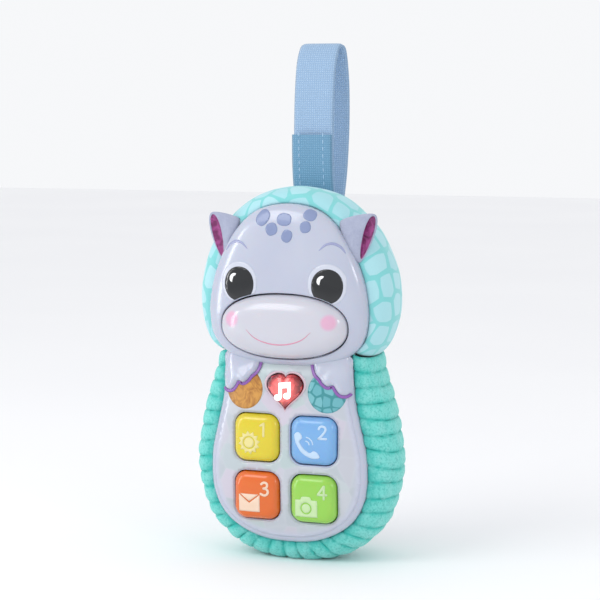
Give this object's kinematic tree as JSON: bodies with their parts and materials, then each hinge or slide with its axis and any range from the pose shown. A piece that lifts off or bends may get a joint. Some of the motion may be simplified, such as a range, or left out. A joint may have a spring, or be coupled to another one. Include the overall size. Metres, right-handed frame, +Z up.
{
  "type": "toy cell phone",
  "caption": "Baby's toy phone: a glossy hippo-faced keypad module with push keys set in a stuffed plush body with ears and a hanging strap.",
  "frame": {"origin": "on the standing surface, under the middle of the bounding box", "axes": "+Z up towards the strap, -Y the way the face looks, +X to the right of the face as a viewer sees it"},
  "size_m": [0.09, 0.063, 0.2145],
  "materials": {
    "shell_plastic": "glossy injection-moulded lilac ABS",
    "label_film": "printed pearly film, glossy",
    "muzzle_plastic": "glossy pearl-white moulded plastic",
    "key_yellow": "glossy translucent yellow",
    "key_blue": "glossy translucent blue",
    "key_orange": "glossy translucent orange",
    "key_green": "glossy translucent green",
    "red_clear": "clear red, faceted, lit from behind",
    "silicone": "moulded silicone, matt",
    "circuit_board": "green solder mask",
    "black_plastic": "black moulded, satin",
    "grey_plastic": "grey moulded, satin",
    "led_lens": "milky epoxy lens",
    "steel": "zinc-plated screws",
    "wire": "thin PVC insulation",
    "cell_sleeve": "printed sleeve",
    "nickel": "nickel-plated spring steel",
    "purple_plastic": "violet moulded, satin",
    "ribbed_plush": "short-pile ribbed velour",
    "printed_plush": "smooth knit printed with pebble cells",
    "stuffing": "polyester fibre filling",
    "back_fabric": "short-pile velour, plain",
    "ear_velour": "short-pile velour",
    "ear_satin": "satin, sheeny",
    "webbing": "woven polyester webbing",
    "webbing_tab": "woven polyester webbing, stitched",
    "hook_tape": "hook-and-loop tape"
  },
  "bodies": {
    "phone_body": {"front_shell": "shell_plastic", "panel_label": "label_film", "keypad_mat": "silicone", "main_board": "circuit_board", "board_chips": "black_plastic", "heart_led": "led_lens", "muzzle_board": "circuit_board", "muzzle_mat": "silicone", "board_screws": "steel", "speaker": "black_plastic", "speaker_clamp": "grey_plastic", "speaker_leads": "wire", "battery_leads": "wire", "muzzle_leads": "wire", "rear_cover": "shell_plastic", "housing_screws": "steel", "battery_cells": "cell_sleeve", "contact_plates": "nickel", "contact_springs": "nickel", "slide_switch": "black_plastic", "body_cover": "ribbed_plush", "body_stuffing": "stuffing", "hood_cover": "printed_plush", "hood_stuffing": "stuffing", "back_panel": "back_fabric", "ear_left": "ear_velour", "ear_left_lining": "ear_satin", "ear_right": "ear_velour", "ear_right_lining": "ear_satin", "strap_webbing": "webbing", "strap_tab": "webbing_tab", "hook_pad": "hook_tape", "loop_pad": "hook_tape"},
    "key_1": {"key_1": "key_yellow"},
    "key_2": {"key_2": "key_blue"},
    "key_3": {"key_3": "key_orange"},
    "key_4": {"key_4": "key_green"},
    "heart_button": {"heart_button": "red_clear"},
    "muzzle_button": {"muzzle_button": "muzzle_plastic"},
    "switch_knob": {"switch_knob": "purple_plastic"},
    "battery_door": {"battery_door": "shell_plastic", "door_screw": "steel"}
  },
  "joints": [
    {"name": "key_1_press", "type": "slide", "parent": "phone_body", "child": "key_1", "axis": [0, 1, 0], "range_m": [0, 0.0015], "stiffness_N_per_m": 700},
    {"name": "key_2_press", "type": "slide", "parent": "phone_body", "child": "key_2", "axis": [0, 1, 0], "range_m": [0, 0.0015], "stiffness_N_per_m": 700},
    {"name": "key_3_press", "type": "slide", "parent": "phone_body", "child": "key_3", "axis": [0, 1, 0], "range_m": [0, 0.0015], "stiffness_N_per_m": 700},
    {"name": "key_4_press", "type": "slide", "parent": "phone_body", "child": "key_4", "axis": [0, 1, 0], "range_m": [0, 0.0015], "stiffness_N_per_m": 700},
    {"name": "heart_press", "type": "slide", "parent": "phone_body", "child": "heart_button", "axis": [0, 1, 0], "range_m": [0, 0.0012], "stiffness_N_per_m": 700},
    {"name": "muzzle_press", "type": "slide", "parent": "phone_body", "child": "muzzle_button", "axis": [0, 1, 0], "range_m": [0, 0.0015], "stiffness_N_per_m": 900},
    {"name": "switch_slide", "type": "slide", "parent": "phone_body", "child": "switch_knob", "axis": [1, 0, 0], "range_m": [-0.003, 0.003]},
    {"name": "battery_door_off", "type": "slide", "parent": "phone_body", "child": "battery_door", "axis": [0, 1, 0], "range_m": [0, 0.02]}
  ]
}
